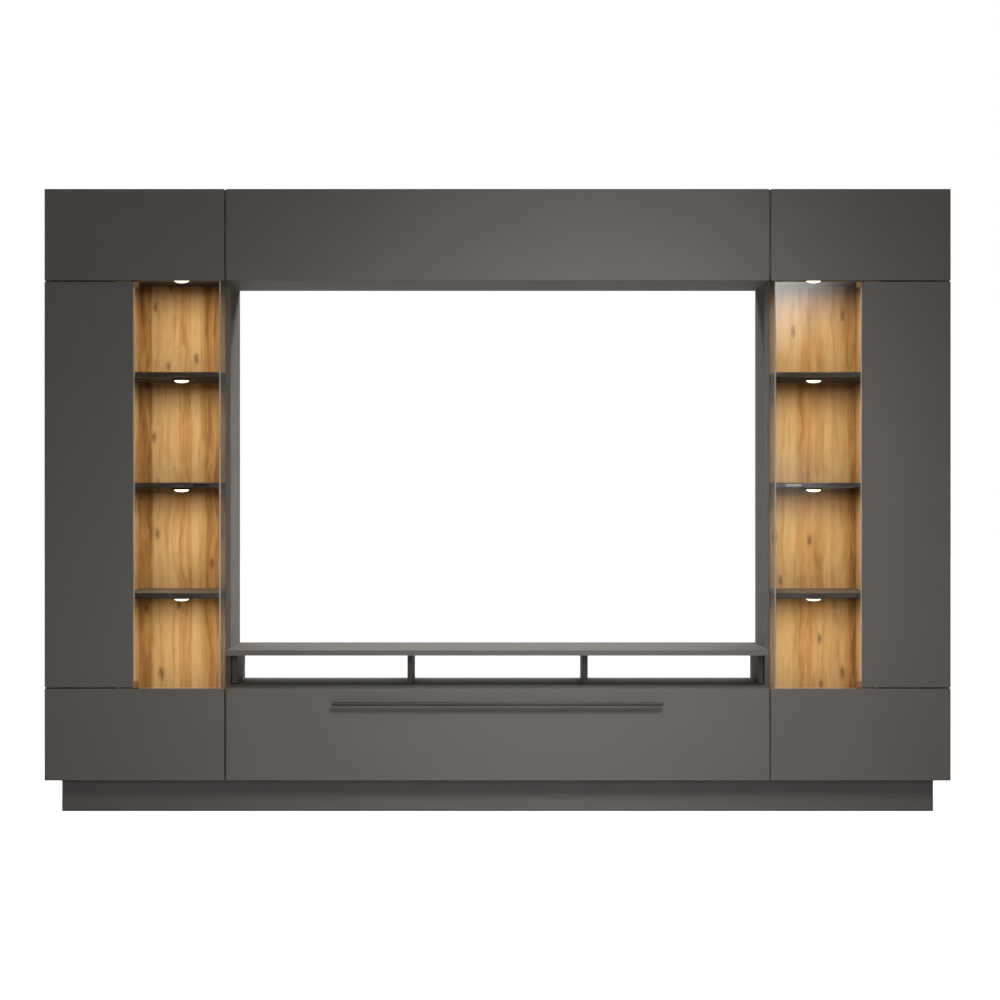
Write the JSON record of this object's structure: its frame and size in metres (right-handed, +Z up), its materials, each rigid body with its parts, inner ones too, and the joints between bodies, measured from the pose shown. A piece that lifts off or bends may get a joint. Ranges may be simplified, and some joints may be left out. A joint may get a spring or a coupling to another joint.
{
  "type": "entertainment center",
  "caption": "Wall unit for a television: two towers with lit glass niches, an overhead flap cupboard, a base flap cupboard with a bar handle and a bridge shelf.",
  "frame": {"origin": "On the floor, under the middle of the bounding box: the middle of the width and of the depth with the handle.", "axes": "+X to the right as seen from the front, +Y towards the wall, +Z up; the fronts face -Y."},
  "size_m": [3.1, 0.447, 2.136],
  "materials": {
    "bar_handle": "black lacquered aluminium, satin",
    "base_back": "matt anthracite laminate, warm grey, broken edges",
    "base_box": "matt anthracite laminate, warm grey, broken edges",
    "base_flap": "matt anthracite laminate, warm grey, broken edges",
    "base_top": "matt anthracite laminate, warm grey, broken edges",
    "bridge": "matt anthracite laminate, warm grey, broken edges",
    "left_back": "matt anthracite laminate, warm grey, broken edges",
    "left_catch_plate": "nickel plated steel",
    "left_corner_glass": "clear float glass, polished edges",
    "left_floor": "matt anthracite laminate, warm grey, broken edges",
    "left_glass_door": "clear float glass, polished edges",
    "left_inner_side": "matt anthracite laminate, warm grey, broken edges",
    "left_latch_plunger": "dark grey moulded plastic",
    "left_lower_deck": "matt anthracite laminate, warm grey, broken edges",
    "left_lower_door": "matt anthracite laminate, warm grey, broken edges",
    "left_lower_pivot_block": "nickel plated steel",
    "left_niche_back": "knotty oak laminate, grain running up",
    "left_niche_shelf_1": "matt anthracite laminate, warm grey, broken edges",
    "left_niche_shelf_2": "matt anthracite laminate, warm grey, broken edges",
    "left_niche_shelf_3": "matt anthracite laminate, warm grey, broken edges",
    "left_outer_side": "matt anthracite laminate, warm grey, broken edges",
    "left_partition": "knotty oak laminate, grain running up",
    "left_spot_1": "dark housing with a warm white domed diffuser",
    "left_spot_2": "dark housing with a warm white domed diffuser",
    "left_spot_3": "dark housing with a warm white domed diffuser",
    "left_spot_4": "dark housing with a warm white domed diffuser",
    "left_tall_door": "matt anthracite laminate, warm grey, broken edges",
    "left_top": "matt anthracite laminate, warm grey, broken edges",
    "left_upper_deck": "matt anthracite laminate, warm grey, broken edges",
    "left_upper_door": "matt anthracite laminate, warm grey, broken edges",
    "left_upper_pivot_block": "nickel plated steel",
    "overhead_back": "matt anthracite laminate, warm grey, broken edges",
    "overhead_box": "matt anthracite laminate, warm grey, broken edges",
    "overhead_flap": "matt anthracite laminate, warm grey, broken edges",
    "plinth": "matt anthracite laminate, warm grey, broken edges",
    "right_back": "matt anthracite laminate, warm grey, broken edges",
    "right_catch_plate": "nickel plated steel",
    "right_corner_glass": "clear float glass, polished edges",
    "right_floor": "matt anthracite laminate, warm grey, broken edges",
    "right_glass_door": "clear float glass, polished edges",
    "right_inner_side": "matt anthracite laminate, warm grey, broken edges",
    "right_latch_plunger": "dark grey moulded plastic",
    "right_lower_deck": "matt anthracite laminate, warm grey, broken edges",
    "right_lower_door": "matt anthracite laminate, warm grey, broken edges",
    "right_lower_pivot_block": "nickel plated steel",
    "right_niche_back": "knotty oak laminate, grain running up",
    "right_niche_shelf_1": "matt anthracite laminate, warm grey, broken edges",
    "right_niche_shelf_2": "matt anthracite laminate, warm grey, broken edges",
    "right_niche_shelf_3": "matt anthracite laminate, warm grey, broken edges",
    "right_outer_side": "matt anthracite laminate, warm grey, broken edges",
    "right_partition": "knotty oak laminate, grain running up",
    "right_spot_1": "dark housing with a warm white domed diffuser",
    "right_spot_2": "dark housing with a warm white domed diffuser",
    "right_spot_3": "dark housing with a warm white domed diffuser",
    "right_spot_4": "dark housing with a warm white domed diffuser",
    "right_tall_door": "matt anthracite laminate, warm grey, broken edges",
    "right_top": "matt anthracite laminate, warm grey, broken edges",
    "right_upper_deck": "matt anthracite laminate, warm grey, broken edges",
    "right_upper_door": "matt anthracite laminate, warm grey, broken edges",
    "right_upper_pivot_block": "nickel plated steel"
  },
  "bodies": {
    "carcass": {"base_back": "base_back", "base_box": "base_box", "base_top": "base_top", "bridge": "bridge", "left_back": "left_back", "left_corner_glass": "left_corner_glass", "left_floor": "left_floor", "left_inner_side": "left_inner_side", "left_lower_deck": "left_lower_deck", "left_niche_back": "left_niche_back", "left_niche_shelf_1": "left_niche_shelf_1", "left_niche_shelf_2": "left_niche_shelf_2", "left_niche_shelf_3": "left_niche_shelf_3", "left_outer_side": "left_outer_side", "left_partition": "left_partition", "left_spot_1": "left_spot_1", "left_spot_2": "left_spot_2", "left_spot_3": "left_spot_3", "left_spot_4": "left_spot_4", "left_top": "left_top", "left_upper_deck": "left_upper_deck", "overhead_back": "overhead_back", "overhead_box": "overhead_box", "plinth": "plinth", "right_back": "right_back", "right_corner_glass": "right_corner_glass", "right_floor": "right_floor", "right_inner_side": "right_inner_side", "right_lower_deck": "right_lower_deck", "right_niche_back": "right_niche_back", "right_niche_shelf_1": "right_niche_shelf_1", "right_niche_shelf_2": "right_niche_shelf_2", "right_niche_shelf_3": "right_niche_shelf_3", "right_outer_side": "right_outer_side", "right_partition": "right_partition", "right_spot_1": "right_spot_1", "right_spot_2": "right_spot_2", "right_spot_3": "right_spot_3", "right_spot_4": "right_spot_4", "right_top": "right_top", "right_upper_deck": "right_upper_deck"},
    "overhead_flap": {"overhead_flap": "overhead_flap"},
    "base_flap": {"base_flap": "base_flap", "bar_handle": "bar_handle"},
    "left_tall_door": {"left_tall_door": "left_tall_door"},
    "left_upper_door": {"left_upper_door": "left_upper_door"},
    "left_lower_door": {"left_lower_door": "left_lower_door"},
    "left_glass_door": {"left_glass_door": "left_glass_door", "left_lower_pivot_block": "left_lower_pivot_block", "left_upper_pivot_block": "left_upper_pivot_block", "left_catch_plate": "left_catch_plate"},
    "left_latch_plunger": {"left_latch_plunger": "left_latch_plunger"},
    "right_tall_door": {"right_tall_door": "right_tall_door"},
    "right_upper_door": {"right_upper_door": "right_upper_door"},
    "right_lower_door": {"right_lower_door": "right_lower_door"},
    "right_glass_door": {"right_glass_door": "right_glass_door", "right_lower_pivot_block": "right_lower_pivot_block", "right_upper_pivot_block": "right_upper_pivot_block", "right_catch_plate": "right_catch_plate"},
    "right_latch_plunger": {"right_latch_plunger": "right_latch_plunger"}
  },
  "joints": [
    {"name": "left_tall_door_hinge", "type": "hinge", "parent": "carcass", "child": "left_tall_door", "pos_m": [-1.55, -0.1965, 0.4305], "axis": [0, 0, -1], "range_deg": [0, 105]},
    {"name": "left_upper_door_hinge", "type": "hinge", "parent": "carcass", "child": "left_upper_door", "pos_m": [-1.55, -0.1965, 1.823], "axis": [0, 0, -1], "range_deg": [0, 105]},
    {"name": "left_lower_door_hinge", "type": "hinge", "parent": "carcass", "child": "left_lower_door", "pos_m": [-1.55, -0.1965, 0.112], "axis": [0, 0, -1], "range_deg": [0, 105]},
    {"name": "left_glass_door_pivot", "type": "hinge", "parent": "carcass", "child": "left_glass_door", "pos_m": [-1.236, -0.192, 0.4305], "axis": [0, 0, -1], "range_deg": [0, 95]},
    {"name": "left_latch_travel", "type": "slide", "parent": "carcass", "child": "left_latch_plunger", "axis": [0, 1, 0], "range_m": [0, 0.004], "stiffness_N_per_m": 300, "springref_m": -0.003},
    {"name": "right_tall_door_hinge", "type": "hinge", "parent": "carcass", "child": "right_tall_door", "pos_m": [1.55, -0.1965, 0.4305], "axis": [0, 0, 1], "range_deg": [0, 105]},
    {"name": "right_upper_door_hinge", "type": "hinge", "parent": "carcass", "child": "right_upper_door", "pos_m": [1.55, -0.1965, 1.823], "axis": [0, 0, 1], "range_deg": [0, 105]},
    {"name": "right_lower_door_hinge", "type": "hinge", "parent": "carcass", "child": "right_lower_door", "pos_m": [1.55, -0.1965, 0.112], "axis": [0, 0, 1], "range_deg": [0, 105]},
    {"name": "right_glass_door_pivot", "type": "hinge", "parent": "carcass", "child": "right_glass_door", "pos_m": [1.236, -0.192, 0.4305], "axis": [0, 0, 1], "range_deg": [0, 95]},
    {"name": "right_latch_travel", "type": "slide", "parent": "carcass", "child": "right_latch_plunger", "axis": [0, 1, 0], "range_m": [0, 0.004], "stiffness_N_per_m": 300, "springref_m": -0.003},
    {"name": "overhead_flap_hinge", "type": "hinge", "parent": "carcass", "child": "overhead_flap", "pos_m": [0, -0.1965, 2.136], "axis": [-1, 0, 0], "range_deg": [0, 90]},
    {"name": "base_flap_hinge", "type": "hinge", "parent": "carcass", "child": "base_flap", "pos_m": [0, -0.1965, 0.112], "axis": [1, 0, 0], "range_deg": [0, 90]}
  ]
}
